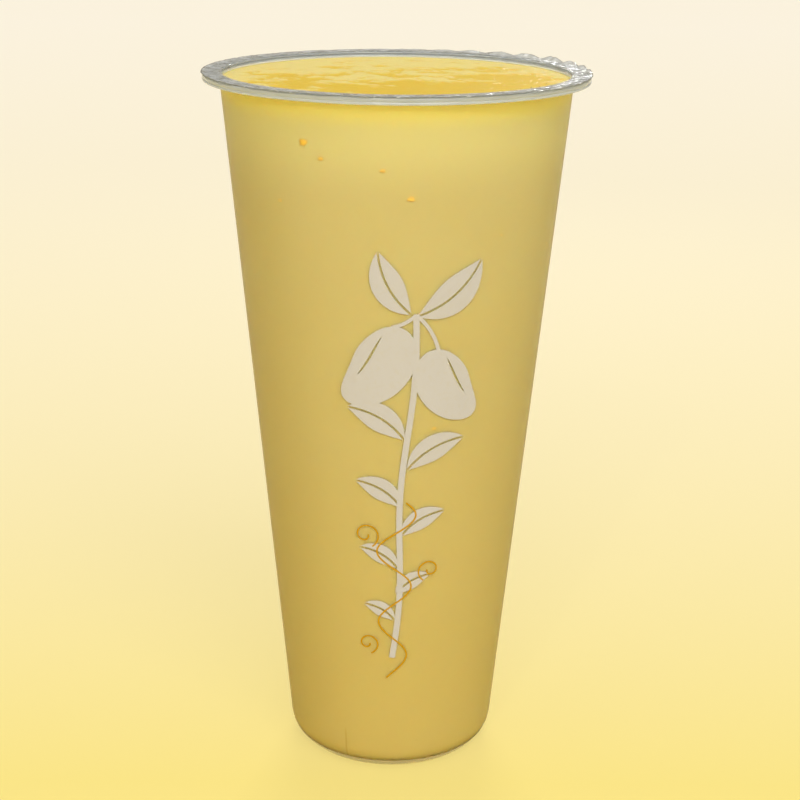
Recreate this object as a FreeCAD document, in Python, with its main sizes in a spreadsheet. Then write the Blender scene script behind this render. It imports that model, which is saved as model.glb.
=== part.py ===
"""A tall clear cup of mango milkshake, closed with a heat-sealed film.

Three pieces, in millimetres, +Z up, with the origin at the middle of the foot:

* cup        a thin moulded wall that widens upwards, a rounded heel, a floor
             raised on a low foot ring, and a sealing flange with a turned-down lip
* milkshake  the drink, which fills the cup to just under the flange
* seal_film  a disc of film welded to the flange, with its trimmed edge puckered

The cup and the drink are turned about the Z axis, so each starts as a half
outline on the XZ plane, whose corners are bound to the sheet of sizes. The film
is skinned between closed curves whose puckers follow a formula.
"""

import math
import os

import FreeCAD, Part
import Sketcher

OUT_FOLDER = "parts"
FULL_TURN = 360.0  # degrees
SAME_PLACE = 0.001  # mm
Z_WAY = FreeCAD.Vector(0, 0, 1)
X_AXIS, Y_AXIS = -1, -2  # a sketch's own axes, whose start is its origin
START, END = 1, 2  # the ends of a line or an arc
LEAST_CUT = 1.0  # mm3, the least that a groove takes away when it points the right way

# Each size is set on its own: millimetres, degrees or a plain number, as its name says.
SIZES = {
    # the cup's wall, a straight line from the foot to the mouth
    "cup_height": 180.0,  # from the table to the top of the flange
    "mouth_diameter": 85.7,  # inside the wall, at the top of the flange
    "base_diameter": 53.4,  # where the wall's outside would meet the table, without a heel
    "wall": 0.6,
    # the heel, the floor and the ring that the cup stands on
    "heel_radius": 7.5,
    "floor_thickness": 0.8,
    "foot_recess": 0.8,
    "foot_width": 1.4,
    # the sealing flange and its lip
    "flange_width": 4.65,  # from the mouth to the outer edge
    "flange_thickness": 0.8,
    "lip_depth": 1.65,  # from the top of the flange to the bottom of the lip
    "lip_thickness": 0.7,
    "rim_round": 0.3,
    # the drink
    "fill_drop": 1.5,  # from the top of the flange down to the drink
    # the film
    "film_thickness": 0.2,
    "film_overhang": 0.3,  # past the flange, all the way round
    "film_loose": 1.9,  # the width of the edge that isn't welded down
    "pucker_height": 1.0,  # of the tallest pucker
    "pucker_count": 36,
    "pucker_side": 32.0,  # degrees from +X, where the puckers stand tallest
}

doc = FreeCAD.newDocument("MangoMilkshake")


def make_sheet():
    """The sheet of driving sizes: the name in column A and the value, with its alias, in B."""
    sizes = doc.addObject("Spreadsheet::Sheet", "Sizes")
    for row, (name, value) in enumerate(SIZES.items(), start=1):
        sizes.set(f"A{row}", name)
        sizes.set(f"B{row}", str(value))
        sizes.setAlias(f"B{row}", name)
    doc.recompute()
    return sizes


sheet = make_sheet()


def value_of(expression):
    """The number that an expression on the sheet comes to."""
    return float(sheet.evalExpression(expression.replace("Sizes.", "")))


# Places that more than one feature or piece uses, as expressions on the sheet.
MOUTH_RADIUS = "(Sizes.mouth_diameter / 2)"
RIM_RADIUS = "(Sizes.mouth_diameter / 2 + Sizes.flange_width)"
LIP_INSIDE = f"({RIM_RADIUS} - Sizes.lip_thickness)"
LIP_BOTTOM = "(Sizes.cup_height - Sizes.lip_depth)"
FLANGE_BOTTOM = "(Sizes.cup_height - Sizes.flange_thickness)"
FLOOR_TOP = "(Sizes.foot_recess + Sizes.floor_thickness)"
DRINK_TOP = "(Sizes.cup_height - Sizes.fill_drop)"
INNER_HEEL = "(Sizes.heel_radius - Sizes.wall)"
WALL_SLOPE = f"(({MOUTH_RADIUS} + Sizes.wall - Sizes.base_diameter / 2) / Sizes.cup_height)"
# where the rounded heel runs out on the table
FOOT_RADIUS = (
    f"(Sizes.base_diameter / 2 + Sizes.heel_radius * ({WALL_SLOPE} - sqrt(1 + {WALL_SLOPE}^2)))"
)
RECESS_RADIUS = f"({FOOT_RADIUS} - Sizes.foot_width)"


def wall_outside(height):
    """The outside radius of the wall at a height."""
    return f"(Sizes.base_diameter / 2 + {WALL_SLOPE} * {height})"


def wall_inside(height):
    """The inside radius of the wall at a height."""
    return f"({wall_outside(height)} - Sizes.wall)"


def new_body(label):
    """An empty body whose label is the name of its piece."""
    body = doc.addObject("PartDesign::Body", label)
    body.Label = label
    body.Placement = FreeCAD.Placement()
    return body


class Corner:
    """A corner of an outline: the two expressions that place it and, where it is rounded, a
    third for the radius. It holds the points where the lines on each side of it stop short."""

    def __init__(self, expressions):
        self.place = expressions[:2]
        self.radius = expressions[2] if len(expressions) > 2 else None
        self.at = FreeCAD.Vector(value_of(expressions[0]), value_of(expressions[1]), 0)
        self.arrive = self.leave = self.at

    def shorten(self, before, after):
        """Works out the arc that rounds a convex corner between its two neighbours."""
        radius = value_of(self.radius)
        back = (before.at - self.at).normalize()
        onward = (after.at - self.at).normalize()
        half = back.getAngle(onward) / 2
        self.arrive = self.at + back * (radius / math.tan(half))
        self.leave = self.at + onward * (radius / math.tan(half))
        centre = self.at + (back + onward).normalize() * (radius / math.sin(half))
        first, last = (math.atan2(*(p - centre)[1::-1]) for p in (self.arrive, self.leave))
        self.arc = Part.ArcOfCircle(Part.Circle(centre, Z_WAY, radius), first, last)


def outline(body, name, corners):
    """A closed half outline on the body's XZ plane, anticlockwise. A corner is a pair of
    expressions, the distance from the axis and the height, either of which is "0" on an axis,
    and a third, the radius, where a convex corner is rounded."""
    sketch = body.newObject("Sketcher::SketchObject", name)
    plane = next(f for f in body.Origin.OriginFeatures if f.Role == "XZ_Plane")
    sketch.AttachmentSupport = [(plane, "")]
    sketch.MapMode = "FlatFace"
    corners = [Corner(expressions) for expressions in corners]
    following = corners[1:] + corners[:1]
    for before, corner, after in zip(corners[-1:] + corners, corners, following):
        if corner.radius:
            corner.shorten(before, after)
    for corner, after in zip(corners, following):
        sketch.addGeometry(Part.LineSegment(corner.leave, after.arrive), False)
    for line, corner in enumerate(corners):
        before = (line - 1) % len(corners)
        if corner.radius:
            join_by_arc(sketch, before, line, corner)
        else:
            sketch.addConstraint(Sketcher.Constraint("Coincident", before, END, line, START))
            tie_point(sketch, line, corner)
    return sketch


def join_by_arc(sketch, before, line, corner):
    """Joins two lines by an arc, and marks the sharp corner where they would have met."""
    arc = sketch.addGeometry(corner.arc, False)
    mark = sketch.addGeometry(Part.Point(corner.at), True)
    tie_point(sketch, mark, corner)
    for side in (before, line):
        sketch.addConstraint(Sketcher.Constraint("PointOnObject", mark, START, side))
    sketch.addConstraint(Sketcher.Constraint("Tangent", before, END, arc, START))
    sketch.addConstraint(Sketcher.Constraint("Tangent", arc, END, line, START))
    made = sketch.addConstraint(Sketcher.Constraint("Radius", arc, value_of(corner.radius)))
    sketch.setExpression(f"Constraints[{made}]", corner.radius)


def tie_point(sketch, item, corner):
    """Ties the start of an item to the axes, at distances that follow a corner's place."""
    ways = (("DistanceX", Y_AXIS, corner.at.x), ("DistanceY", X_AXIS, corner.at.y))
    for (kind, axis, distance), expression in zip(ways, corner.place):
        if expression == "0":
            sketch.addConstraint(Sketcher.Constraint("PointOnObject", item, START, axis))
        else:
            made = sketch.addConstraint(
                Sketcher.Constraint(kind, X_AXIS, START, item, START, distance)
            )
            sketch.setExpression(f"Constraints[{made}]", expression)


def turned(body, kind, name, corners):
    """Turns a half outline round the Z axis: a Revolution adds and a Groove takes away."""
    before = body.Shape.Volume if body.Tip else 0.0
    sketch = outline(body, f"{name}Outline", corners)
    feature = body.newObject(f"PartDesign::{kind}", name)
    feature.Profile = sketch
    feature.ReferenceAxis = (sketch, ["V_Axis"])
    feature.Angle = FULL_TURN
    doc.recompute()
    if kind == "Groove" and before - body.Shape.Volume < LEAST_CUT:
        raise ValueError(f"{name} cuts nothing")
    return feature


def ring_edges(feature, rings):
    """The names of a feature's circular edges at the given pairs of radius and height."""
    wanted = [(value_of(radius), value_of(height)) for radius, height in rings]
    names = []
    for number, edge in enumerate(feature.Shape.Edges, start=1):
        circle = edge.Curve
        if isinstance(circle, Part.Circle) and any(
            abs(circle.Radius - radius) < SAME_PLACE
            and abs(circle.Center.z - height) < SAME_PLACE
            for radius, height in wanted
        ):
            names.append(f"Edge{number}")
    if len(names) != len(wanted):
        raise ValueError(f"{feature.Label} has {len(names)} of its {len(wanted)} rings")
    return names


def rounded(body, name, rings, radius):
    """Rounds the circular edges at the given rings of the body as it stands."""
    last = body.Tip
    fillet = body.newObject("PartDesign::Fillet", name)
    fillet.Base = (last, ring_edges(last, rings))
    fillet.setExpression("Radius", radius)
    doc.recompute()
    return fillet


def inside_outline(top):
    """The space inside the cup, from its floor up to a height."""
    return [
        ("0", FLOOR_TOP),
        (wall_inside(FLOOR_TOP), FLOOR_TOP, INNER_HEEL),
        (wall_inside(top), top),
        ("0", top),
    ]


def make_cup():
    """The moulded cup: a blank with its flange, hollowed from above and recessed from below."""
    body = new_body("cup")
    turned(
        body,
        "Revolution",
        "Blank",
        [
            ("0", "0"),
            ("Sizes.base_diameter / 2", "0", "Sizes.heel_radius"),
            (wall_outside(FLANGE_BOTTOM), FLANGE_BOTTOM),
            (LIP_INSIDE, FLANGE_BOTTOM),
            (LIP_INSIDE, LIP_BOTTOM),
            (RIM_RADIUS, LIP_BOTTOM),
            (RIM_RADIUS, "Sizes.cup_height"),
            ("0", "Sizes.cup_height"),
        ],
    )
    turned(body, "Groove", "Hollow", inside_outline("Sizes.cup_height"))
    turned(
        body,
        "Groove",
        "Recess",
        [
            ("0", "0"),
            (RECESS_RADIUS, "0"),
            (RECESS_RADIUS, "Sizes.foot_recess"),
            ("0", "Sizes.foot_recess"),
        ],
    )
    rounded(
        body,
        "Rim",
        [
            (MOUTH_RADIUS, "Sizes.cup_height"),
            (RIM_RADIUS, "Sizes.cup_height"),
            (RIM_RADIUS, LIP_BOTTOM),
        ],
        "Sizes.rim_round",
    )
    return body


def make_milkshake():
    """The drink, which meets the inside of the cup all over, up to its own level."""
    body = new_body("milkshake")
    turned(body, "Revolution", "Drink", inside_outline(DRINK_TOP))
    return body


def pucker(angle, tallest):
    """How high the film's edge stands at an angle, from 0 to 1. The folds are uneven in width
    and low all round, except near the angle where they stand tallest."""
    wide_sway, fine_sway = 1.6, 0.9  # radians that the folds are shifted by, to make them uneven
    wide_waves, fine_waves = 2, 5  # how many times each sway repeats round the film
    start = 0.7  # radians, where the wide sway begins
    narrowing = 6  # the power that keeps the tall puckers to one side
    lowest = 0.22  # the height of a pucker on the other side
    shift = wide_sway * math.sin(wide_waves * angle + start)
    shift += fine_sway * math.sin(fine_waves * angle)
    fold = (1 - math.cos(sheet.pucker_count * angle + shift)) / 2
    near = ((1 + math.cos(angle - tallest)) / 2) ** narrowing
    return (lowest + (1 - lowest) * near) * fold


def film_curve(radius, base, lift):
    """A closed curve round the film: lift is how high a full pucker raises it over its base."""
    points_per_pucker = 8
    count = int(sheet.pucker_count) * points_per_pucker
    tallest = math.radians(sheet.pucker_side)
    points = []
    for step in range(count):
        angle = 2 * math.pi * step / count
        height = base + lift * pucker(angle, tallest)
        points.append(
            FreeCAD.Vector(radius * math.cos(angle), radius * math.sin(angle), height)
        )
    curve = Part.BSplineCurve()
    curve.interpolate(Points=points, PeriodicFlag=True)
    return curve.toShape()


def make_seal_film():
    """The film: flat over the mouth and where it is welded, then puckered out to its edge."""
    rim = value_of(RIM_RADIUS)
    edge = rim + sheet.film_overhang
    weld = edge - sheet.film_loose
    fold_start = 0.4  # of the loose edge's width, where the film has risen by fold_rise
    fold_rise = 0.25
    rings = (
        (weld, 0.0),
        (weld + fold_start * sheet.film_loose, fold_rise * sheet.pucker_height),
        (edge, sheet.pucker_height),
    )
    bottom, top = (
        [film_curve(radius, base, lift) for radius, lift in rings]
        for base in (sheet.cup_height, sheet.cup_height + sheet.film_thickness)
    )
    faces = [Part.Face(Part.Wire([side[0]])) for side in (bottom, top)]
    for side in (bottom, top):
        for inner, outer in zip(side, side[1:]):
            faces.append(Part.makeRuledSurface(inner, outer))
    faces.append(Part.makeRuledSurface(bottom[-1], top[-1]))
    shell = Part.makeShell(faces)
    shell.sewShape()
    film = doc.addObject("Part::Feature", "seal_film")
    film.Label = "seal_film"
    solid = Part.makeSolid(shell)
    if solid.Volume < 0:
        solid.reverse()
    film.Shape = solid
    film.Placement = FreeCAD.Placement()
    return film


def write_parts(pieces):
    """Checks every object and each piece's shape, then writes each piece to its own file."""
    doc.recompute()
    failed = [o.Label for o in doc.Objects if {"Invalid", "Error"} & set(o.State)]
    if failed:
        raise RuntimeError(f"failed objects: {failed}")
    for piece in pieces:
        shape = piece.Shape
        if shape.isNull() or not shape.isValid() or len(shape.Solids) != 1:
            raise RuntimeError(f"{piece.Label} isn't one valid solid")
    os.makedirs(OUT_FOLDER, exist_ok=True)
    for piece in pieces:
        shape = piece.Shape
        shape.exportStep(os.path.join(OUT_FOLDER, f"{piece.Label}.step"))
        box = shape.optimalBoundingBox()
        print(
            f"{piece.Label}: {shape.Volume / 1000:.2f} ml, radius {box.XMax:.2f},"
            f" from {box.ZMin:.2f} to {box.ZMax:.2f}"
        )


write_parts([make_cup(), make_milkshake(), make_seal_film()])
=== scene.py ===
# %% [markdown]
# # A sealed cup of mango milkshake
#
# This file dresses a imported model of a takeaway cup: a clear moulded cup, the milkshake that fills
# it and the film that closes it. The model fixes every size and place. What is made here is what the
# eye adds: the soft edge of the rim, froth under the film, puckers in its trimmed edge, specks of
# fruit against the wall and a plain print. The first step loads the model and keeps its box, so that
# the finished looks can be measured against it at the end.

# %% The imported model
import math

import bmesh
import bpy
from mathutils import Matrix, Vector


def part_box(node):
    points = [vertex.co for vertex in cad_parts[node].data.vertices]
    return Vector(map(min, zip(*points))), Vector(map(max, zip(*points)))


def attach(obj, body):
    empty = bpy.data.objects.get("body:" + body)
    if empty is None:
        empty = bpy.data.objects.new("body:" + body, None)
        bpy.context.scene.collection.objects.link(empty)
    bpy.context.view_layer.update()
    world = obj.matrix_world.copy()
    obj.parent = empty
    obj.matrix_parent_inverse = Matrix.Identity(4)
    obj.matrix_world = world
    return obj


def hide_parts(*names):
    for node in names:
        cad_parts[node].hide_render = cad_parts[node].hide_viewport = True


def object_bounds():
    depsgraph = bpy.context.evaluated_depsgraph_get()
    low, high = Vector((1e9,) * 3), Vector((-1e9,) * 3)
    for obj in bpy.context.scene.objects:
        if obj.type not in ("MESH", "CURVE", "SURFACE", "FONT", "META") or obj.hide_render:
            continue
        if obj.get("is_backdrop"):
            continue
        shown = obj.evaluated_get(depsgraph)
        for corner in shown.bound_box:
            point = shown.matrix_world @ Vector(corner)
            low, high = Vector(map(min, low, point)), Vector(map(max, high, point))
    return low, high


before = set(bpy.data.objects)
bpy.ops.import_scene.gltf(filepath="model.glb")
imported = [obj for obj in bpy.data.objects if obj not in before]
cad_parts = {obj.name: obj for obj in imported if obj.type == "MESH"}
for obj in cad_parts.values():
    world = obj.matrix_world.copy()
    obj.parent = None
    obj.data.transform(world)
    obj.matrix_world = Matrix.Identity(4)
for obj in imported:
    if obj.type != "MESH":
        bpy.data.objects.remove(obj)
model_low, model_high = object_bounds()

print("nodes:", ", ".join(sorted(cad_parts)))

# %% [markdown]
# ## Sizes
#
# Blender works in metres, so `MM` turns the maker's millimetres into them. Heights and widths come
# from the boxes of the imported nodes. A box can't tell how the wall slopes or how round the heel is,
# so those few sizes are named here, and the last line measures how well they meet the model.

# %% Sizes
MM = 0.001
_, cup_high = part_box("cup")
drink_low, drink_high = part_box("milkshake")
film_low, film_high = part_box("seal_film")

RIM = cup_high.x  # radius of the flange
CUP_TOP = cup_high.z
FLOOR = drink_low.z  # where the drink starts
DRINK_TOP = drink_high.z
FILM_EDGE = film_high.x

WALL = 0.6 * MM
BASE = 26.7 * MM  # where the wall's outside would meet the table
MOUTH = 42.85 * MM
HEEL = 7.5 * MM
RECESS = 0.8 * MM
FOOT = 18.5 * MM  # inside of the foot ring
FLANGE = 0.8 * MM
LIP = 1.65 * MM
LIP_WALL = 0.7 * MM
SLOPE = (MOUTH + WALL - BASE) / CUP_TOP


def wall_outside(height):
    """The radius of the wall's outer face at a height."""
    return BASE + SLOPE * height


def wall_inside(height):
    """The radius of the wall's inner face at a height."""
    return wall_outside(height) - WALL


print(f"wall against the model: {(wall_inside(DRINK_TOP) - drink_high.x) / MM:+.3f} mm")

# %% [markdown]
# ## Formulas made of nodes
#
# Both shader trees and Geometry Nodes trees are built from Math nodes, which are hard to read when
# each takes four lines. `Value` wraps a socket, and every Python operator on it adds one Math node,
# so a tree reads as the formula that it is. `Nodes.add` makes any other kind of node: its settings
# are set first, because some of them change which sockets it has.


# %% Nodes from Python expressions
class Value:
    """A node's output, which can be used in Python sums."""

    def __init__(self, nodes, socket):
        self.nodes, self.socket = nodes, socket

    def math(self, operation, *values):
        return self.nodes.math(operation, *values)

    def __add__(self, other):
        return self.math("ADD", self, other)

    def __sub__(self, other):
        return self.math("SUBTRACT", self, other)

    def __rsub__(self, other):
        return self.math("SUBTRACT", other, self)

    def __mul__(self, other):
        return self.math("MULTIPLY", self, other)

    def __truediv__(self, other):
        return self.math("DIVIDE", self, other)

    def __rtruediv__(self, other):
        return self.math("DIVIDE", other, self)

    def __pow__(self, other):
        return self.math("POWER", self, other)

    __radd__ = __add__
    __rmul__ = __mul__

    def sin(self):
        return self.math("SINE", self)

    def cos(self):
        return self.math("COSINE", self)

    def smooth(self, start, end):
        """0 below start, 1 above end and a soft step between them."""
        span = {"Value": self, "From Min": start, "From Max": end}
        return self.nodes.add("ShaderNodeMapRange", {"interpolation_type": "SMOOTHSTEP"}, span)


class Nodes:
    """A node tree, with one method that adds a node of any kind."""

    def __init__(self, tree):
        self.tree = tree

    def add(self, kind, settings=None, inputs=None, output=0):
        """Adds a node, sets it up, feeds its sockets and returns one of its outputs."""
        made = self.tree.nodes.new(kind)
        for name, value in (settings or {}).items():
            setattr(made, name, value)
        for name, value in (inputs or {}).items():
            self.feed(made.inputs[name], value)
        return Value(self, made.outputs[output])

    def feed(self, socket, value):
        """Links a Value to a socket, or sets the socket to a plain number, word or colour."""
        if isinstance(value, Value):
            self.tree.links.new(value.socket, socket)
        else:
            socket.default_value = value

    def math(self, operation, *values):
        """A Math node of any operation."""
        return self.add("ShaderNodeMath", {"operation": operation}, dict(enumerate(values)))

    def fade(self, value, start, end):
        """0 at start, 1 at end and an even step between them."""
        span = {"Value": value, "From Min": start, "From Max": end}
        return self.add("ShaderNodeMapRange", {}, span)

    def noise(self, place, scale, detail=2.0, distortion=0.0):
        """Soft noise from 0 to 1; scale is in features for each metre."""
        inputs = {"Vector": place, "Scale": scale, "Detail": detail, "Distortion": distortion}
        return self.add("ShaderNodeTexNoise", {}, inputs)

    def store(self, geometry, name, value):
        """Writes a number at each point of a geometry, for a material to read."""
        inputs = {"Geometry": geometry, "Name": name, "Value": value}
        return self.add("GeometryNodeStoreNamedAttribute", {"data_type": "FLOAT"}, inputs)

    def blend(self, share, first, second):
        """A colour between two others."""
        return self.add(
            "ShaderNodeMix", {"data_type": "RGBA"}, {0: share, 6: first, 7: second}, output=2
        )


print("nodes can be written as sums")

# %% [markdown]
# ## Geometry Nodes helpers
#
# A tree gets named inputs, and a modifier on a mesh runs it. A modifier's inputs are set by the
# socket's identifier, which Blender makes up, so they are looked up by name here. The result is read
# back as a plain mesh: an export drops modifiers, instances and particles, but keeps a mesh.


# %% Growing a mesh with a node tree
def new_tree(name, sizes):
    """A Geometry Nodes tree: its Nodes, its incoming geometry and a Value for each named size."""
    tree = bpy.data.node_groups.new(name, "GeometryNodeTree")
    tree.interface.new_socket("Geometry", in_out="INPUT", socket_type="NodeSocketGeometry")
    for size in sizes:
        tree.interface.new_socket(size, in_out="INPUT", socket_type="NodeSocketFloat")
    tree.interface.new_socket("Geometry", in_out="OUTPUT", socket_type="NodeSocketGeometry")
    nodes = Nodes(tree)
    start = tree.nodes.new("NodeGroupInput")
    values = {size: Value(nodes, start.outputs[size]) for size in sizes}
    return nodes, Value(nodes, start.outputs["Geometry"]), values


def end_tree(nodes, geometry, material):
    """Ends a tree: instances become real mesh, and the material is set."""
    real = nodes.add("GeometryNodeRealizeInstances", {}, {"Geometry": geometry})
    inputs = {"Geometry": real, "Material": material}
    done = nodes.add("GeometryNodeSetMaterial", {}, inputs)
    out = nodes.tree.nodes.new("NodeGroupOutput")
    nodes.feed(out.inputs[0], done)


def grow(name, source, nodes, sizes, thickness=None):
    """Runs a tree on a source object and gives the result as a new object with a plain mesh."""
    modifier = source.modifiers.new("grow", "NODES")
    modifier.node_group = nodes.tree
    for item in nodes.tree.interface.items_tree:
        if item.in_out == "INPUT" and item.name in sizes:
            modifier[item.identifier] = float(sizes[item.name])
    if thickness:
        solidify = source.modifiers.new("thickness", "SOLIDIFY")
        solidify.thickness = thickness
    graph = bpy.context.evaluated_depsgraph_get()
    mesh = bpy.data.meshes.new_from_object(source.evaluated_get(graph))
    mesh.name = name
    bpy.data.objects.remove(source)
    piece = bpy.data.objects.new(name, mesh)
    bpy.context.collection.objects.link(piece)
    print(f"{name}: {len(mesh.polygons)} faces")
    return piece


print("a node tree can grow a mesh")

# %% [markdown]
# ## Turned shapes
#
# The cup and the drink were both shaped by round tools, so each is a half outline turned about the
# Z axis. `rounded` replaces each corner that has a radius by an arc. `turn` also cuts the long
# straight runs into short ones: a normal is blended across each face, and on a face as long as the
# wall, the blend from the heel would shade the whole cup.


# %% Outlines and turning
AROUND = 256  # faces round a turned shape


def rounded(corners, steps=7):
    """An outline with an arc at each corner that is given as (radius, height, rounding)."""
    outline = []
    for index, (across, height, *rounding) in enumerate(corners):
        at = Vector((across, height))
        if not rounding:
            outline.append(at)
            continue
        before = (Vector(corners[index - 1][:2]) - at).normalized()
        after = (Vector(corners[index + 1][:2]) - at).normalized()
        half = before.angle(after) / 2
        reach = rounding[0] / math.tan(half)
        centre = at + (before + after).normalized() * (rounding[0] / math.sin(half))
        first, last = at + before * reach - centre, at + after * reach - centre
        turn_by = first.angle_signed(last)
        for step in range(steps + 1):
            outline.append(centre + Matrix.Rotation(-turn_by * step / steps, 2) @ first)
    return outline


def cut_long_runs(outline, longest):
    """The same outline, with more points where two are further apart than longest."""
    finer = [outline[0]]
    for start, end in zip(outline, outline[1:]):
        parts = max(1, math.ceil((end - start).length / longest))
        finer += [start.lerp(end, part / parts) for part in range(1, parts + 1)]
    return finer


def turn(name, outline, longest=5 * MM):
    """Turns a half outline about the Z axis into a closed mesh. It starts and ends on the axis."""
    points = cut_long_runs(outline, longest)
    shape = bmesh.new()
    poles = [shape.verts.new((0, 0, points[end].y)) for end in (0, -1)]
    rings = []
    for point in points[1:-1]:
        ring = []
        for step in range(AROUND):
            angle = math.tau * step / AROUND
            spot = (point.x * math.cos(angle), point.x * math.sin(angle), point.y)
            ring.append(shape.verts.new(spot))
        rings.append(ring)
    for step in range(AROUND):
        following = (step + 1) % AROUND
        shape.faces.new((poles[0], rings[0][step], rings[0][following]))
        shape.faces.new((poles[1], rings[-1][following], rings[-1][step]))
        for lower, upper in zip(rings, rings[1:]):
            shape.faces.new((lower[step], upper[step], upper[following], lower[following]))
    bmesh.ops.recalc_face_normals(shape, faces=shape.faces)
    mesh = bpy.data.meshes.new(name)
    shape.to_mesh(mesh)
    shape.free()
    mesh.shade_smooth()
    piece = bpy.data.objects.new(name, mesh)
    bpy.context.collection.objects.link(piece)
    print(f"{name}: {len(mesh.polygons)} faces")
    return piece


print(f"a turned shape has {AROUND} faces round it")

# %% [markdown]
# ## Colours and materials
#
# A colour is written as the eye sees it, from 0 to 255, and `shade` turns it into the linear light
# that a shader needs. Every material starts from `Finish`: a Principled shader whose uniform numbers
# are set on its own sockets, and whose changing ones are fed from nodes. Clear pieces also let the
# lamps straight through, as real thin plastic nearly does: a Light Path node swaps the shader for a
# Transparent one wherever a shadow is being worked out, which keeps the drink behind it well lit.


# %% Colours and materials
def shade(red, green, blue):
    """A colour as it is seen, from 0 to 255, as linear light with full strength."""
    seen = [part / 255 for part in (red, green, blue)]
    return (*(p / 12.92 if p <= 0.04045 else ((p + 0.055) / 1.055) ** 2.4 for p in seen), 1.0)


class Finish:
    """A material with one Principled shader, and the places on the piece to drive it by."""

    def __init__(self, name, lets_lamps_through=False, **uniform):
        self.material = bpy.data.materials.new(name)
        self.material.use_nodes = True
        tree = self.material.node_tree
        tree.nodes.clear()
        self.nodes = Nodes(tree)
        self.shader = tree.nodes.new("ShaderNodeBsdfPrincipled")
        for socket, value in uniform.items():
            self.shader.inputs[socket.replace("_", " ")].default_value = value
        self.surface = Value(self.nodes, self.shader.outputs[0])
        self.out = tree.nodes.new("ShaderNodeOutputMaterial")
        self.nodes.feed(self.out.inputs["Surface"], self.surface)
        if lets_lamps_through:
            clear = self.nodes.add("ShaderNodeBsdfTransparent")
            self.swap(self.nodes.add("ShaderNodeLightPath", output="Is Shadow Ray"), clear)

    def swap(self, share, other):
        """Shows another shader in place of the surface, for a share of the light."""
        inputs = {0: share, 1: self.surface, 2: other}
        self.surface = self.nodes.add("ShaderNodeMixShader", {}, inputs)
        self.nodes.feed(self.out.inputs["Surface"], self.surface)

    def place(self):
        """The place on the piece, and its three parts."""
        place = self.nodes.add("ShaderNodeTexCoord", output="Object")
        parts = [
            self.nodes.add("ShaderNodeSeparateXYZ", {}, {"Vector": place}, output=axis)
            for axis in range(3)
        ]
        return place, *parts

    def attribute(self, name):
        """A number that the mesh carries at each point."""
        return self.nodes.add("ShaderNodeAttribute", {"attribute_name": name}, output="Fac")

    def drive(self, socket, value):
        """Feeds one of the shader's sockets from the nodes."""
        self.nodes.feed(self.shader.inputs[socket], value)

    def bumps(self, height, depth, strength=1.0):
        """Raises the surface by a height from 0 to 1, times a depth in metres."""
        inputs = {"Height": height, "Distance": depth, "Strength": strength}
        self.drive("Normal", self.nodes.add("ShaderNodeBump", {}, inputs))


print("finishes can be made")

# %% [markdown]
# ## The clear cup
#
# The cup is polypropylene, moulded thin. It is clear but not as crisp as glass: the wall scatters a
# little, so lamps leave no sharp reflections on it. Its index of refraction is set low, because a
# drink wets the wall from inside and hides most of the reflection there. The flange and the foot
# are the thick places. Light is bent and lost inside them, so they look milky. A share of milk in a
# second and a third material gives that, which is simpler than modelling what happens inside. The
# outline has the bead and the groove that a mould leaves on the lip.

# %% The clear cup
BEAD_GROOVE = 0.12 * MM  # how deep the groove under the bead is
BEAD_DEPTH = 1.0 * MM  # from the top of the flange to the groove
FOOT_TOP = 3.4 * MM  # the thick part of the base ends here
SEAM = math.radians(-25)  # where the mould closed, from the front
SEAM_HALF = 0.35 * MM
SEAM_TOP = 14 * MM


def cup_outline():
    """From the middle of the floor's underside, round the wall, and back to its upper face."""
    flange_under = CUP_TOP - FLANGE
    lip_bottom = CUP_TOP - LIP
    groove = CUP_TOP - BEAD_DEPTH
    return rounded(
        [
            (0, RECESS),
            (FOOT, RECESS, 0.25 * MM),
            (FOOT, 0, 0.2 * MM),
            (BASE, 0, HEEL),
            (wall_outside(flange_under), flange_under, 0.35 * MM),
            (RIM - LIP_WALL, flange_under, 0.2 * MM),
            (RIM - LIP_WALL, lip_bottom, 0.2 * MM),
            (RIM, lip_bottom, 0.22 * MM),
            (RIM, groove - 0.2 * MM, 0.05 * MM),
            (RIM - BEAD_GROOVE, groove, 0.05 * MM),
            (RIM, groove + 0.2 * MM, 0.1 * MM),
            (RIM, CUP_TOP, 0.4 * MM),
            (MOUTH, CUP_TOP, 0.3 * MM),
            (wall_inside(FLOOR), FLOOR, HEEL - WALL),
            (0, FLOOR),
        ]
    )


def clear_plastic():
    """Thin wall: nearly colourless, with a haze that spreads the lamps' reflections."""
    finish = Finish(
        "clear_plastic",
        lets_lamps_through=True,
        Transmission_Weight=1.0,
        IOR=1.14,
    )
    place, across, back, height = finish.place()
    cloud = finish.nodes.noise(place, 60, detail=3)
    sideways = across * math.cos(SEAM) + back * math.sin(SEAM)
    seam = 1 - (sideways * sideways).smooth((0.1 * MM) ** 2, SEAM_HALF**2)
    seam = seam * (1 - height.smooth(SEAM_TOP - 3 * MM, SEAM_TOP)) * (0 - back).smooth(0, 5 * MM)
    hazy = finish.nodes.blend(cloud, shade(252, 252, 249), shade(247, 248, 244))
    finish.drive("Base Color", finish.nodes.blend(seam * 0.4, hazy, shade(190, 170, 130)))
    finish.drive("Roughness", 0.36 + cloud * 0.1)
    finish.bumps(finish.nodes.noise(place, 45, detail=1), 0.3 * MM, strength=0.25)
    return finish.material


def thick_plastic(name, milk, tint):
    """Thick clear plastic, glossier than the wall; milky and tinted, partly haze and partly painted
    light.
    """
    finish = Finish(name, lets_lamps_through=True, Transmission_Weight=1 - milk, IOR=1.49)
    place, *_ = finish.place()
    cloud = finish.nodes.noise(place, 140, detail=3)
    finish.drive("Base Color", finish.nodes.blend(cloud, tint, shade(226, 232, 238)))
    finish.drive("Roughness", 0.05 + cloud * 0.1)
    finish.bumps(finish.nodes.noise(place, 130, detail=2), 0.4 * MM, strength=0.5)
    return finish.material


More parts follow.
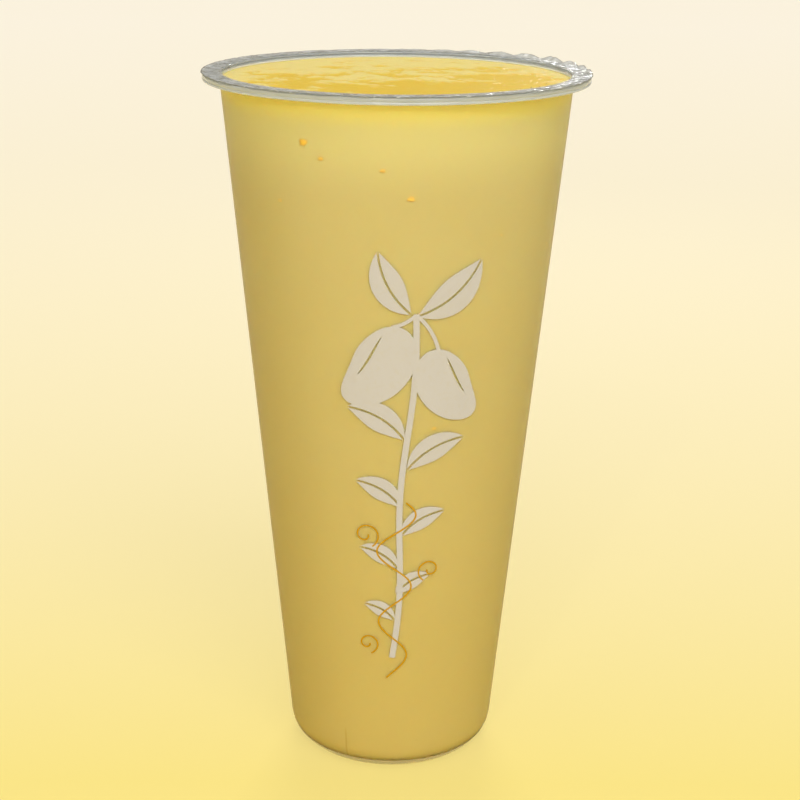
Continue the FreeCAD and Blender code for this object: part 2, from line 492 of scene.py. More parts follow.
cup = turn("cup_shell", cup_outline())
cup.data.materials.append(clear_plastic())
# painted light: the rim's cool grey tint stands partly for the room that it reflects
cup.data.materials.append(thick_plastic("rim_plastic", 0.5, shade(208, 216, 226)))
# painted light: the foot's pale cream stands partly for the light that its thick edge picks up
cup.data.materials.append(thick_plastic("foot_plastic", 0.4, shade(250, 238, 214)))
for face in cup.data.polygons:
    if face.center.z > CUP_TOP - LIP - 0.05 * MM:
        face.material_index = 1
    elif face.center.z < FOOT_TOP:
        face.material_index = 2
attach(cup, "root")
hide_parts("cup")

# %% [markdown]
# ## The milkshake
#
# The drink touches the cup all over. If its mesh stopped at the inner face of the wall, rounding
# would leave a silvery film of air between them, so it reaches halfway into the wall instead. It
# climbs a little where it wets the wall. Its surface isn't flat: whipped froth has drifted into pale
# islands, with smoother golden shake between them. One Geometry Nodes tree makes that rule. Noise
# says how frothy each point is, the froth stands up by that share, and the same number is stored on
# the mesh, so that the material can be pale exactly where the froth is high.

# %% The milkshake's shape
REACH = WALL / 2  # how far the drink goes into the wall
CLIMB = 0.2 * MM
CLIMB_WIDTH = 1.4 * MM
UNDER_EDGE = 0.3 * MM
DRINK_EDGE = wall_inside(DRINK_TOP) + REACH


def drink_outline():
    """From the middle of the drink's underside, up inside the wall, to the middle of its top."""
    ripples = 90  # rings on the top, close enough for the froth's relief
    corners = [
        (0, FLOOR - REACH / 2),
        (wall_inside(FLOOR) + REACH, FLOOR - REACH / 2, HEEL - WALL),
        # a ring close under the edge, so that only this last bit is shaded as rounded
        (DRINK_EDGE - SLOPE * UNDER_EDGE, DRINK_TOP + CLIMB - UNDER_EDGE),
        (DRINK_EDGE, DRINK_TOP + CLIMB),
        (DRINK_EDGE - 0.1 * MM, DRINK_TOP + CLIMB),
    ]
    inner = DRINK_EDGE - CLIMB_WIDTH
    for step in range(1, 6):
        share = 1 - step / 5
        corners.append((inner + CLIMB_WIDTH * share, DRINK_TOP + CLIMB * share * share))
    for step in range(1, ripples + 1):
        corners.append((inner * (1 - step / ripples), DRINK_TOP))
    return rounded(corners)


def froth_tree(material):
    """Raises pale islands of froth on the top of the drink, and stores how frothy it is."""
    sizes = ("Island", "Relief", "Level", "Edge")
    nodes, geometry, size = new_tree("froth", sizes)
    place = nodes.add("GeometryNodeInputPosition")
    across, back, height = (
        nodes.add("ShaderNodeSeparateXYZ", {}, {"Vector": place}, output=axis) for axis in range(3)
    )
    drift = {"X": across * 0.7 + back * 0.15, "Y": back - across * 0.1, "Z": 0.36}
    stretched = nodes.add("ShaderNodeCombineXYZ", {}, drift)
    coarse = nodes.noise(stretched, 1 / size["Island"], detail=6, distortion=0.9)
    fine = nodes.noise(place, 4.5 / size["Island"], detail=4)
    from_axis = (across * across + back * back) ** 0.5
    lean = (back * 0.26 - across * 0.07) / size["Edge"]
    ring = (from_axis / size["Edge"]).smooth(0.8, 0.99) * 0.2
    froth = (coarse + fine * 0.6 + lean + ring - 0.34).smooth(0.42, 0.56)
    on_top = height.smooth(size["Level"] - 0.4 * MM, size["Level"] - 0.1 * MM)
    on_top = on_top * (1 - from_axis.smooth(size["Edge"] - 0.1 * MM, size["Edge"]))
    inside = 1 - (from_axis / size["Edge"]).smooth(0.94, 0.99)
    height_share = (froth * 0.85 + fine * 0.15) * inside * on_top
    lift = nodes.add("ShaderNodeCombineXYZ", {}, {"Z": height_share * size["Relief"]})
    marked = nodes.store(nodes.store(geometry, "froth", froth * on_top), "top", on_top)
    moved = nodes.add("GeometryNodeSetPosition", {}, {"Geometry": marked, "Offset": lift})
    end_tree(nodes, moved, material)
    return nodes


print(f"the drink's top is {2 * DRINK_EDGE / MM:.1f} mm across")

# %% [markdown]
# ## The milkshake's colour
#
# Mango shake is a pale yellow that is easily made too orange or too green. Light sinks into it and
# comes out a little further on, which softens every shadow, so the shader has some subsurface
# scattering. Down the cup the colour gets a touch deeper: partly where fruit settles, partly painted
# shade for the dimmer light low down. Under the rim the last part of the side is painted brighter,
# and the edge brighter still: painted light for the light that comes in from above there as well.
# On top, the froth is the palest and the open shake between its islands the most golden.

# %% The milkshake's colour
PALE_FROTH = shade(250, 225, 130)
OPEN_SHAKE = shade(243, 202, 52)
UPPER_SHAKE = shade(196, 180, 120)
# the lower colour is partly the shake's own and partly painted shade
LOWER_SHAKE_AND_SHADE = shade(192, 169, 95)
# painted light under the rim: a brighter band, and a brighter edge above it
PAINTED_LIGHT_SHAKE = shade(208, 195, 130)
EDGE_PAINTED_LIGHT = shade(231, 216, 121)
PAINTED_LIGHT_FROM, PAINTED_LIGHT_TO = DRINK_TOP - 24 * MM, DRINK_TOP - 6 * MM
EDGE_LIGHT_FROM, EDGE_LIGHT_TO = DRINK_TOP - 7 * MM, DRINK_TOP - 2 * MM


def shake():
    """Thick mango shake: pale froth on top; down the wall smoother, deeper partly as painted shade,
    and with painted light under the rim.
    """
    finish = Finish(
        "mango_shake",
        Specular_IOR_Level=0.02,
        Subsurface_Weight=0.3,
        Subsurface_Radius=(6 * MM, 3.0 * MM, 0.8 * MM),
        Subsurface_Scale=1.0,
    )
    place, _, _, height = finish.place()
    froth = finish.attribute("froth")
    top = finish.attribute("top")
    nodes = finish.nodes
    depth = 1 - (height / DRINK_TOP).smooth(0.0, 1.0)
    cloud = nodes.noise(place, 28, detail=3, distortion=0.4)
    # darker towards the bottom: partly the shake's own colour, partly painted shade
    side = nodes.blend(depth, UPPER_SHAKE, LOWER_SHAKE_AND_SHADE)
    side = nodes.blend(cloud.smooth(0.35, 0.75) * 0.25, side, LOWER_SHAKE_AND_SHADE)
    # painted light: the side brighter under the rim, and brightest at its edge
    side = nodes.blend(height.smooth(PAINTED_LIGHT_FROM, PAINTED_LIGHT_TO), side, PAINTED_LIGHT_SHAKE)
    side = nodes.blend(height.smooth(EDGE_LIGHT_FROM, EDGE_LIGHT_TO), side, EDGE_PAINTED_LIGHT)
    surface = nodes.blend(froth, OPEN_SHAKE, PALE_FROTH)
    finish.drive("Base Color", nodes.blend(top, side, surface))
    finish.drive("Roughness", 0.6 - top * 0.1 + froth * 0.2)
    foam = nodes.noise(place, 900, detail=2)
    finish.bumps(foam, 0.15 * MM, strength=0.35)
    return finish.material


shake_finish = shake()
drink = grow(
    "shake",
    turn("shake_blank", drink_outline(), longest=4 * MM),
    froth_tree(shake_finish),
    {"Island": 9 * MM, "Relief": 0.35 * MM, "Level": DRINK_TOP, "Edge": DRINK_EDGE},
)
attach(drink, "root")
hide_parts("milkshake")

# %% [markdown]
# ## Scattered things: bubbles and pulp
#
# A blender leaves bubbles on the froth and specks of mango in the shake. Both are scattered by one
# tree: points are strewn on a source mesh, each gets a small ball, and the balls are flattened along
# the surface's normal and sized at random from a fixed seed. Bubbles are strewn on a ring near the
# wall, where they gather, and specks on a band of the wall. Each ball has few faces, because there
# are many of them. The largest specks are listed one by one.


# %% A tree that scatters
def scatter_tree(name, material, seed):
    """Strews flattened balls over a source mesh."""
    nodes, geometry, size = new_tree(name, ("Apart", "Smallest", "Largest", "Flatness"))
    strewn = {
        "Mesh": geometry,
        "Distance Min": size["Apart"],
        "Density Max": 1 / (size["Apart"] * size["Apart"]),
        "Seed": seed,
    }
    scatter = nodes.tree.nodes.new("GeometryNodeDistributePointsOnFaces")
    scatter.distribute_method = "POISSON"
    for socket, value in strewn.items():
        nodes.feed(scatter.inputs[socket], value)
    drawn = {2: 0.0, 3: 1.0, "Seed": seed + 1}
    chance = nodes.add("FunctionNodeRandomValue", {"data_type": "FLOAT"}, drawn, output=1)
    width = size["Smallest"] + (size["Largest"] - size["Smallest"]) * chance**3
    scale = nodes.add(
        "ShaderNodeCombineXYZ", {}, {"X": width, "Y": width, "Z": width * size["Flatness"]}
    )
    ball = nodes.add("GeometryNodeMeshIcoSphere", {}, {"Radius": 1.0, "Subdivisions": 2})
    placed = {
        "Points": Value(nodes, scatter.outputs["Points"]),
        "Rotation": Value(nodes, scatter.outputs["Rotation"]),
        "Instance": ball,
        "Scale": scale,
    }
    balls = nodes.add("GeometryNodeInstanceOnPoints", {}, placed)
    smooth = nodes.add("GeometryNodeSetShadeSmooth", {}, {"Geometry": balls})
    end_tree(nodes, smooth, material)
    return nodes


def band(name, rows):
    """An open band round the axis, through rows of (radius, height), as a place to scatter on."""
    steps = 96
    points, faces = [], []
    for across, height in rows:
        for step in range(steps):
            angle = math.tau * step / steps
            points.append((across * math.cos(angle), across * math.sin(angle), height))
    for row in range(len(rows) - 1):
        for step in range(steps):
            following = (step + 1) % steps
            low, high = row * steps, (row + 1) * steps
            faces.append((low + step, low + following, high + following, high + step))
    mesh = bpy.data.meshes.new(name)
    mesh.from_pydata(points, [], faces)
    source = bpy.data.objects.new(name, mesh)
    bpy.context.collection.objects.link(source)
    return source


print("balls can be strewn over a band")


# %% Bubbles in the froth
def bubble_skin():
    """Wet froth, as pale as the islands and glossier."""
    finish = Finish("froth_bubble", Subsurface_Weight=0.2, Subsurface_Radius=(2 * MM, MM, 0.5 * MM))
    place, *_ = finish.place()
    cloud = finish.nodes.noise(place, 300)
    finish.drive("Base Color", finish.nodes.blend(cloud, UPPER_SHAKE, PALE_FROTH))
    finish.drive("Roughness", 0.15 + cloud * 0.15)
    return finish.material


bubble_finish = bubble_skin()
bubbles = grow(
    "froth_bubbles",
    band("bubble_ring", [(share * drink_high.x, DRINK_TOP + 0.1 * MM) for share in (0.8, 0.975)]),
    scatter_tree("bubbles", bubble_finish, 5),
    {"Apart": 2.4 * MM, "Smallest": 0.1 * MM, "Largest": 0.32 * MM, "Flatness": 0.5},
)
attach(bubbles, "root")


# %% Specks of mango
def pulp():
    """Ripe mango flesh, seen through the wall of the cup."""
    finish = Finish("mango_pulp", Subsurface_Weight=0.2, Subsurface_Radius=(MM, 0.5 * MM, 0.2 * MM))
    place, *_ = finish.place()
    cloud = finish.nodes.noise(place, 700)
    colour = finish.nodes.blend(cloud, shade(234, 178, 52), shade(238, 194, 74))
    finish.drive("Base Color", colour)
    finish.drive("Roughness", 0.4 + cloud * 0.2)
    return finish.material


pulp_finish = pulp()
on_wall = [
    (wall_inside(share * CUP_TOP) + REACH, share * CUP_TOP) for share in (0.3, 0.6, 0.93)
]
specks = grow(
    "pulp_specks",
    band("speck_band", on_wall),
    scatter_tree("specks", pulp_finish, 12),
    {"Apart": 17 * MM, "Smallest": 0.15 * MM, "Largest": 0.42 * MM, "Flatness": 0.3},
)
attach(specks, "root")

# angle round the cup from its front, height and width of each larger speck
LARGE_SPECKS = (
    (-30, 168.5, 1.9),
    (-24, 165, 1.1),
    (-4, 163, 1.2),
    (5, 156.5, 1.6),
    (16, 99.5, 1.0),
    (-41, 154, 1.1),
    (38, 146.5, 0.8),
    (151, 160, 1.6),
    (172, 122, 1.2),
    (-118, 165, 1.4),
    (97, 158, 1.2),
)


def on_cone(angle, height, across):
    """A place round the cup: an angle from its front, a height, and a radius."""
    turned = math.radians(angle)
    return Vector((across * math.sin(turned), -across * math.cos(turned), height))


def large_specks():
    """Flat uneven shreds against the wall, one for each row of LARGE_SPECKS."""
    shape = bmesh.new()
    for index, (angle, height, width) in enumerate(LARGE_SPECKS):
        level = height * MM
        centre = on_cone(angle, level, wall_inside(level) + REACH + 0.05 * MM)
        ball = bmesh.ops.create_icosphere(shape, subdivisions=3, radius=0.5)["verts"]
        for vert in ball:
            across, out, up = vert.co
            uneven = 1 + 0.22 * math.sin(18 * across + index) + 0.15 * math.sin(9 * up + index)
            spot = Vector((across * width * 1.1, out * 0.3, up * width * 0.75)) * MM * uneven
            vert.co = centre + Matrix.Rotation(math.radians(angle), 3, "Z") @ spot
    mesh = bpy.data.meshes.new("pulp_shreds")
    shape.to_mesh(mesh)
    shape.free()
    mesh.shade_smooth()
    piece = bpy.data.objects.new("pulp_shreds", mesh)
    bpy.context.collection.objects.link(piece)
    return piece


shreds = large_specks()
shreds.data.materials.append(pulp_finish)
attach(shreds, "root")
print(f"{len(LARGE_SPECKS)} larger specks")

# %% [markdown]
# ## The sealing film
#
# A machine pressed a sheet of film onto the flange with a hot ring and cut it just outside. Inside
# the weld the film is taut and nearly flat. Outside it the film is loose, and it shrank unevenly as
# it cooled, so it puckers. The tree lays a grid out as a disc: one way along the grid is the angle,
# and the other is the distance from the middle, in steps that get finer towards the edge. Waves of
# several lengths round the disc lift the loose edge, most of all on one side.

# %% The film's shape
FILM = 0.06 * MM
LOOSE = 1.9 * MM  # the width that isn't welded
PUCKERS = 36
TALLEST = math.radians(32)  # where the puckers stand tallest, from +X


def film_tree(material):
    """A disc whose edge is lifted into puckers."""
    nodes, _, size = new_tree("film", ("Radius", "Loose", "Base", "Pucker", "Puckers", "Tallest"))
    grid = nodes.add(
        "GeometryNodeMeshGrid",
        {},
        {"Size X": 1.0, "Size Y": 1.0, "Vertices X": 1081, "Vertices Y": 30},
    )
    place = nodes.add("GeometryNodeInputPosition")
    along, outward = (
        nodes.add("ShaderNodeSeparateXYZ", {}, {"Vector": place}, output=axis) for axis in range(2)
    )
    angle = (along + 0.5) * math.tau
    to_edge = 0.5 - outward
    radius = size["Radius"] * (1 - to_edge * to_edge)
    crowding = (angle * 2 + 0.7).sin() * 1.6 + (angle * 5).sin() * 0.9
    fold = (0.5 - (size["Puckers"] * angle + crowding).cos() * 0.5) ** 0.6
    near = (0.5 + (angle - size["Tallest"]).cos() * 0.5) ** 13
    loose = ((radius - size["Radius"] + size["Loose"]) / size["Loose"]).smooth(0.0, 1.0)
    circle = {"X": angle.cos(), "Y": angle.sin(), "Z": radius * 30}
    crumple = nodes.noise(nodes.add("ShaderNodeCombineXYZ", {}, circle), 26, detail=3)
    tall = (0.09 + near * 0.91) * fold * (0.7 + crumple * 0.45)
    weld = ((radius - size["Radius"] + size["Loose"] * 2.6) / size["Loose"]).smooth(0.0, 0.5)
    lift = size["Pucker"] * (tall * loose + (crumple - 0.4) * 0.2 * weld)
    edge = radius - fold * loose * 0.12 * MM
    spot = {"X": angle.cos() * edge, "Y": angle.sin() * edge, "Z": size["Base"] + lift}
    laid = nodes.add(
        "GeometryNodeSetPosition",
        {},
        {
            "Geometry": nodes.store(grid, "loose", loose),
            "Position": nodes.add("ShaderNodeCombineXYZ", {}, spot),
        },
    )
    closed = nodes.add("GeometryNodeMergeByDistance", {}, {"Geometry": laid, "Distance": 0.001 * MM})
    smooth = nodes.add("GeometryNodeSetShadeSmooth", {}, {"Geometry": closed})
    end_tree(nodes, smooth, material)
    return nodes


print(f"{PUCKERS} puckers in the outer {LOOSE / MM:.1f} mm of the film")

# %% [markdown]
# ## The film's finish
#
# The film is clearest over the mouth. On the weld it is pressed to the flange and looks milky, with
# greyer patches and a few painted white glints. The cut edge is painted darker, as shade for film
# seen edge-on. Alpha says how much of the film is seen, so it is low over the mouth and rises on the
# weld. The gloss does the rest, because it catches the lamps on every fold.

# %% The film's finish
def film_plastic():
    """Clear glossy film, milky on the weld, with painted glints and painted shade at its cut edge."""
    finish = Finish("film_plastic", IOR=1.45, Specular_IOR_Level=0.5)
    place, across, back, _ = finish.place()
    from_axis = (across * across + back * back) ** 0.5
    weld = from_axis.smooth(MOUTH - 0.3 * MM, MOUTH + 0.6 * MM)
    loose = finish.attribute("loose")
    cloud = finish.nodes.noise(place, 420, detail=3)
    grey = finish.nodes.noise(place, 360, detail=4).smooth(0.35, 0.65)
    # painted highlights: white glints where the noise peaks on the weld
    painted_glints = finish.nodes.noise(place, 640, detail=1).smooth(0.66, 0.72) * weld
    # painted shade: the cut edge darker, as film seen edge-on looks
    shaded_cut_edge = from_axis.smooth(FILM_EDGE - 0.45 * MM, FILM_EDGE - 0.2 * MM)
    crumpled = finish.nodes.blend(grey, shade(200, 201, 194), shade(240, 242, 241))
    crumpled = finish.nodes.blend(shaded_cut_edge, crumpled, shade(152, 150, 139))
    finish.drive("Base Color", finish.nodes.blend(painted_glints, crumpled, shade(255, 255, 252)))
    finish.drive("Alpha", 0.05 + weld * 0.55 + loose * 0.1 + shaded_cut_edge * 0.2 + painted_glints * 0.1)
    finish.drive("Roughness", 0.09 + cloud * 0.06)
    finish.bumps(finish.nodes.noise(place, 420, detail=2), 0.8 * MM, strength=0.9)
    return finish.material


def blank(name):
    """An empty object for a tree that makes its own mesh."""
    source = bpy.data.objects.new(name, bpy.data.meshes.new(name))
    bpy.context.collection.objects.link(source)
    return source


film_finish = film_plastic()
film = grow(
    "film",
    blank("film_blank"),
    film_tree(film_finish),
    {
        "Radius": FILM_EDGE,
        "Loose": LOOSE,
        "Base": film_low.z + 2 * FILM,
        "Pucker": 0.82 * (film_high.z - film_low.z),
        "Puckers": PUCKERS,
        "Tallest": TALLEST,
    },
    thickness=FILM,
)
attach(film, "root")
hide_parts("seal_film")

# %% [markdown]
# ## The print
#
# Cups like this have something screen printed on the wall in one pale ink. This one has a plain
# pattern that stands for nothing in particular: a sprig with leaves and two mangoes, and a thin
# orange vine that winds round its stem. Each figure is drawn flat, as strips of ink that follow a
# path, and then bent round the cone of the wall as a thin closed layer.


# %% Bending strips of ink round the wall
PRINT_ANGLE = 6.5  # degrees from the front
INK_GAP = 0.02 * MM  # keeps the ink's back just clear of the wall
THINNEST = 0.04 * MM  # a strip's width where it ends in a point


def on_wall_at(across, height, lift):
    """Where a flat point of the print lands: across and height in metres, lift off the wall."""
    radius = wall_outside(height)
    angle = PRINT_ANGLE + math.degrees(across / radius)
    return on_cone(angle, height, radius + lift)


def strip(shape, path, sides, thickness, steps=48):
    """Adds ink along a path. At a share of the path, sides gives its two edges' distances from it."""
    rows = []
    for step in range(steps + 1):
        share = step / steps
        here, before, ahead = (Vector(path(share + near)) for near in (0, -0.001, 0.001))
        across = (ahead - before).normalized().orthogonal()
        low, high = sides(share)
        high = max(high, low + THINNEST)
        row = [here + across * (low + (high - low) * line / 4) for line in range(5)]
        lifts = (INK_GAP, INK_GAP + thickness)
        rows.append([[shape.verts.new(on_wall_at(*spot, lift)) for spot in row] for lift in lifts])
    for (back, front), (next_back, next_front) in zip(rows, rows[1:]):
        loop, next_loop = back + front[::-1], next_back + next_front[::-1]
        for index in range(len(loop)):
            quad = loop[index - 1], loop[index], next_loop[index], next_loop[index - 1]
            shape.faces.new(quad)
    for back, front in (rows[0], rows[-1]):
        for line in range(4):
            shape.faces.new((back[line], back[line + 1], front[line + 1], front[line]))


def line(width):
    """The two edges of a plain line, with its width in millimetres."""
    return lambda share: (-width * MM / 2, width * MM / 2)


def bow(start, angle, length, bend):
    """A path in millimetres: a straight run from start at an angle, bowed sideways by a share."""
    lean = math.radians(angle)

    def path(share):
        along, aside = length * share, bend * length * 4 * share * (1 - share)
        return (
            (start[0] + along * math.cos(lean) - aside * math.sin(lean)) * MM,
            (start[1] + along * math.sin(lean) + aside * math.cos(lean)) * MM,
        )

    return path


print("ink can follow a path")

# %% [markdown]
# A leaf is two strips that share a path and leave its vein bare. A mango is two fat strips along a
# bowed path, fuller at its stalk than at its tip, and parted for a short way by the bare line where
# light would catch it. A screen prints an even thickness of ink, so nothing is raised more than the
# rest, apart from the orange, which was printed second.

# %% The pale figures
INK = 0.05 * MM
VEIN = 0.28 * MM  # half of the bare line in a leaf

# start across and up, angle, length, width and bend, in millimetres and degrees
LEAVES = (
    (1.2, 128.5, 40, 20, 8.5, -0.10),
    (-0.6, 129, 118, 17, 7.5, 0.10),
    (-1.5, 97, 150, 16, 7.0, -0.12),
    (-0.5, 89, 28, 16, 6.6, 0.12),
    (-2.0, 79, 149, 13, 5.6, -0.12),
    (-1.6, 71, 30, 12.5, 5.4, 0.12),
    (-2.4, 62, 150, 11, 4.8, -0.12),
    (-2.6, 54.5, 32, 10, 4.4, 0.12),
    (-2.8, 47, 150, 9, 4.0, -0.12),
)
MANGOES = ((-4.5, 126, -124, 22, 14.5, 0.16), (6.0, 120, -58, 20, 13.2, -0.16))
SPRIG_TOP = (0.7, 128.8)


def stem_path(share):
    """The stem rises with a slight swing."""
    height = 36 + (SPRIG_TOP[1] - 36) * share
    return ((-3.2 + 3.9 * share + 0.8 * math.sin(share * 3 * math.pi)) * MM, height * MM)


def leaf(width):
    """The edges of the two halves of a leaf."""

    def half(side):
        def edges(share):
            reach = width * MM * math.sin(math.pi * share) ** 0.8 / 2
            return sorted((side * VEIN, side * max(reach, VEIN)))

        return edges

    return half(-1), half(1)


def mango(width, side):
    """The edges of a mango's body and of the sliver beyond the bare line of light on one side."""

    def half(way):
        def edges(share):
            reach = width * MM * math.sqrt(max(share * (1 - share), 0)) * (1.16 - 0.34 * share)
            apart = VEIN * math.sqrt(max(1 - ((share - 0.42) / 0.3) ** 2, 0))
            return sorted((side * (reach * 0.5 + way * apart), side * way * reach))

        return edges

    return half(-1), half(1)


def pale_figures(shape):
    """A sprig: a stem, its leaves, and two mangoes that hang from its top."""
    strip(shape, stem_path, line(1.5), INK, steps=80)
    for across, height, angle, length, width, bend in LEAVES:
        for edges in leaf(width):
            strip(shape, bow((across, height), angle, length, bend), edges, INK)
    for across, height, angle, length, width, bend in MANGOES:
        for edges in mango(width, -math.copysign(1, bend)):
            strip(shape, bow((across, height), angle, length, bend), edges, INK, steps=64)
        over, down = across - SPRIG_TOP[0], height - SPRIG_TOP[1]
        towards, reach = math.degrees(math.atan2(down, over)), math.hypot(over, down)
        stalk = bow(SPRIG_TOP, towards, reach + 0.6, 0.08)
        strip(shape, stalk, line(0.9), INK, steps=8)


def ink(name, colour, faded):
    """Screen ink: nearly even, with a fine grain where the mesh of the screen has thinned it."""
    finish = Finish(name, Specular_IOR_Level=0.3)
    place, *_ = finish.place()
    grain = finish.nodes.noise(place, 900, detail=2)
    cloud = finish.nodes.noise(place, 70, detail=2)
    worn = grain.smooth(0.45, 0.8) * 0.35 + cloud.smooth(0.4, 0.8) * 0.35
    finish.drive("Base Color", finish.nodes.blend(worn, colour, faded))
    finish.drive("Roughness", 0.45 + grain * 0.2)
    finish.bumps(grain, 0.02 * MM, strength=0.4)
    return finish.material


def print_piece(name, draw, material):
    """A piece of the print from a function that draws its figures."""
    shape = bmesh.new()
    draw(shape)
    bmesh.ops.recalc_face_normals(shape, faces=shape.faces)
    mesh = bpy.data.meshes.new(name)
    shape.to_mesh(mesh)
    shape.free()
    mesh.shade_smooth()
    mesh.set_sharp_from_angle(angle=math.radians(40))
    mesh.materials.append(material)
    piece = bpy.data.objects.new(name, mesh)
    bpy.context.collection.objects.link(piece)
    print(f"{name}: {len(mesh.polygons)} faces")
    return piece


pale_ink = ink("pale_ink", shade(204, 202, 211), shade(201, 196, 193))
figures = print_piece("print_figures", pale_figures, pale_ink)
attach(figures, "root")


# %% The orange vine
ORANGE_INK = 0.08 * MM
# middle of each curl, the way it starts, its size and which way it turns
CURLS = ((-10.5, 71, -60, 3.6, 1), (5.8, 61, 240, 3.2, -1), (-9.5, 40, -70, 3.0, 1))


def vine_path(share):
    """The vine crosses the stem from side to side as it falls."""
    swing = math.sin(share * math.tau * 2.5 + 0.5) * (5.0 - 1.8 * share)
    return ((-3.0 + swing) * MM, (80 - 50 * share) * MM)


def orange_figures(shape):
    """A thin winding vine with three curled ends."""
    strip(shape, vine_path, line(0.45), ORANGE_INK, steps=180)
    for across, height, start, size, way in CURLS:

        def curl(share):
            angle = math.radians(start) + way * share * 7.5
            reach = size * (1 - 0.82 * share)
            return ((across + reach * math.cos(angle)) * MM, (height + reach * math.sin(angle)) * MM)

        strip(shape, curl, line(0.4), ORANGE_INK, steps=70)


orange_ink = ink("orange_ink", shade(197, 148, 12), shade(198, 158, 30))
vine = print_piece("print_vine", orange_figures, orange_ink)
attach(vine, "root")

# %% [markdown]
# ## Camera
#
# The camera stands about 40 cm away and a little above the rim, looking down by 18 degrees, as
# someone does who photographs a drink on a table. It is turned and tilted by less than a degree, as
# a hand-held camera is.

# %% Camera
CAMERA_DISTANCE = 0.4028
CAMERA_HEIGHT = 0.2287
LENS = 73.1  # focal length in millimetres
LOOKS_DOWN, TURNED, TILTED = (math.radians(angle) for angle in (18.33, -0.234, 0.64))

camera = bpy.data.objects.new("camera", bpy.data.cameras.new("camera"))
bpy.context.collection.objects.link(camera)
camera.data.lens = LENS
camera.matrix_world = (
    Matrix.Translation((0, -CAMERA_DISTANCE, CAMERA_HEIGHT))
    @ Matrix.Rotation(TURNED, 4, "Z")
    @ Matrix.Rotation(math.pi / 2 - LOOKS_DOWN, 4, "X")
    @ Matrix.Rotation(TILTED, 4, "Z")
)
bpy.context.scene.camera = camera
print(f"camera lens {LENS} mm, {CAMERA_DISTANCE:.2f} m away")

# %% [markdown]
# ## Floor and light
#
# The floor is one wide pale sheet, cream and a little yellower close to the cup. Lamps that were
# strong enough to make it as pale as a studio sheet would bleach the drink as well. So the lamps stay
# at a plain level, and most of what the eye, a gloss or a clear piece sees of the floor is its own
# glow. A share of the lit floor stays under it, with the soft shadow of the cup.
#
# A soft light stands for a window in front, and another for a window behind, so that no side of the
# cup is left in the dark. Three weak ones stand low, as reflecting boards would. Two tiny lamps are
# there only to leave glints on the film. The window behind leaves none, because it would bleach the
# whole far rim. The room is a dim grey with a pale ceiling, so that clear plastic has something
# darker to show at its edges.

# %% Floor
FLOOR_SIZE = 12.0
GLOW = 0.65  # the share of the floor that is seen at full brightness
FAR_FLOOR = shade(255, 246, 226)
NEAR_FLOOR = shade(252, 231, 138)


def cream_floor():
    """A pale cream sheet that turns a little yellower towards the front."""
    finish = Finish("cream_floor", Specular_IOR_Level=0.0)
    place, _, back, _ = finish.place()
    cloud = finish.nodes.noise(place, 3, detail=2)
    ahead = finish.nodes.math("MAXIMUM", back + CAMERA_DISTANCE, 0.3)
    near = finish.nodes.fade(CAMERA_HEIGHT / ahead + cloud * 0.01, 0.1, 0.62)
    cream = finish.nodes.blend(near, FAR_FLOOR, NEAR_FLOOR)
    finish.drive("Base Color", cream)
    finish.drive("Roughness", 0.8 + cloud * 0.1)
    rays = [
        finish.nodes.add("ShaderNodeLightPath", output=f"Is {kind} Ray")
        for kind in ("Camera", "Glossy", "Transmission")
    ]
    glow = finish.nodes.add("ShaderNodeEmission", {}, {"Color": cream, "Strength": 1.0})
    finish.swap(finish.nodes.math("MINIMUM", sum(rays), 1) * GLOW, glow)
    return finish.material


floor_mesh = bpy.data.meshes.new("floor")
half = FLOOR_SIZE / 2
corners = [(-half, -half, 0), (half, -half, 0), (half, half, 0), (-half, half, 0)]
floor_mesh.from_pydata(corners, [], [(0, 1, 2, 3)])
floor_mesh.materials.append(cream_floor())
floor = bpy.data.objects.new("floor", floor_mesh)
bpy.context.collection.objects.link(floor)
floor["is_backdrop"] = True
print(f"floor {FLOOR_SIZE:.0f} m across")


# %% Lamps and the room
WARM = (1.0, 0.8, 0.4)


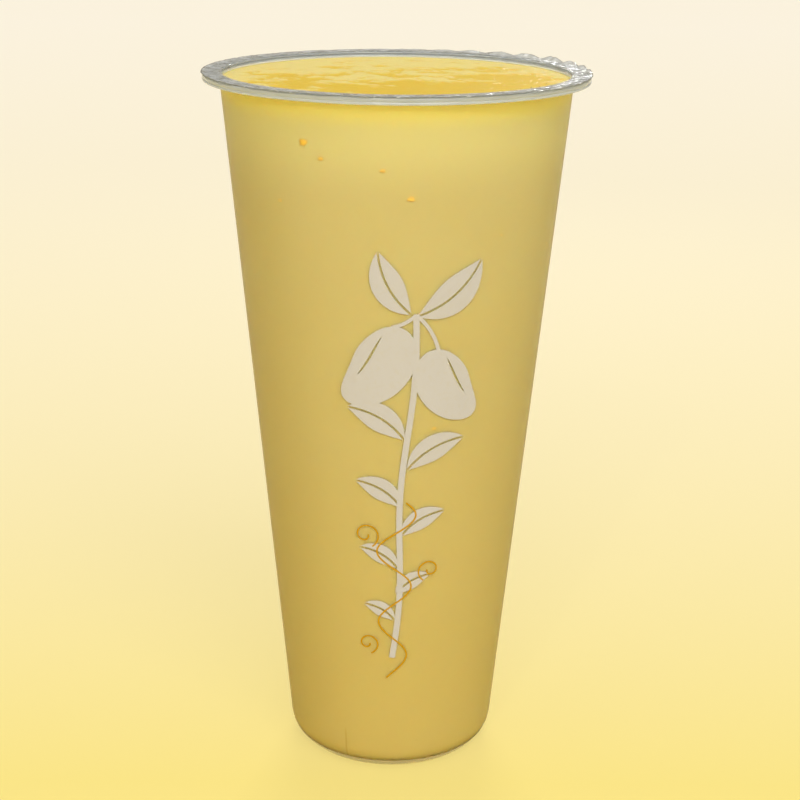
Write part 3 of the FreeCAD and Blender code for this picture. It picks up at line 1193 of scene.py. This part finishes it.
def light(name, kind, strength, place, colour=(1, 1, 1)):
    """A lamp that stands at a place, or in that direction, and shines at the middle of the cup."""
    lamp = bpy.data.lights.new(name, kind)
    lamp.energy, lamp.color = strength, colour
    stand = bpy.data.objects.new(name, lamp)
    bpy.context.collection.objects.link(stand)
    stand.location = place
    aim = Vector((0, 0, CUP_TOP / 2)) - stand.location
    stand.rotation_euler = aim.to_track_quat("-Z", "Y").to_euler()
    return lamp


def soft(name, strength, place, spread, colour=(1, 1, 1)):
    """A wide far light: it looks as big as spread degrees, so its shadows are soft."""
    light(name, "SUN", strength, place, colour).angle = math.radians(spread)


def spark(name, strength, place):
    """A small bright lamp, only there for its reflections."""
    light(name, "AREA", strength, place).size = 0.01


soft("window", 1.5, (0.2, -1.0, 0.95), 50)
soft("back_window", 1.05, (0.0, 1.0, 0.85), 25)
bpy.data.objects["back_window"].visible_glossy = False
soft("left_board", 0.36, (-1.0, -0.7, 0.2), 40, WARM)
soft("right_board", 0.16, (1.0, -0.5, 0.25), 40, WARM)
soft("low_board", 0.27, (0.13, -1.0, 0.17), 30)
spark("back_glint", 0.3, (0.12, 0.62, 0.42))
spark("front_glint", 0.3, (-0.12, -0.55, 0.55))

room = bpy.data.worlds.new("room")
room.use_nodes = True
bpy.context.scene.world = room
air = Nodes(room.node_tree)
room.node_tree.nodes.clear()
way = air.add("ShaderNodeTexCoord", output="Generated")
up = air.add("ShaderNodeSeparateXYZ", {}, {"Vector": way}, output=2)
tone = air.blend(up.smooth(0.0, 0.08), shade(255, 246, 228), shade(156, 148, 128))
tone = air.blend(up.smooth(0.35, 0.95), tone, shade(245, 246, 248))
background = air.add("ShaderNodeBackground", {}, {"Color": tone, "Strength": 0.56})
room_out = room.node_tree.nodes.new("ShaderNodeOutputWorld")
air.feed(room_out.inputs["Surface"], background)
bpy.context.scene.view_settings.view_transform = "Standard"
print("lamps and room are in place")

# %% [markdown]
# ## Measuring the result
#
# The looks must not grow past the model. Both boxes are written down so that they can be compared.

# %% Write the two boxes
shown_low, shown_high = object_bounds()
for title, corner in (("model", model_high), ("shown", shown_high)):
    print(title, [round(part / MM, 2) for part in corner])
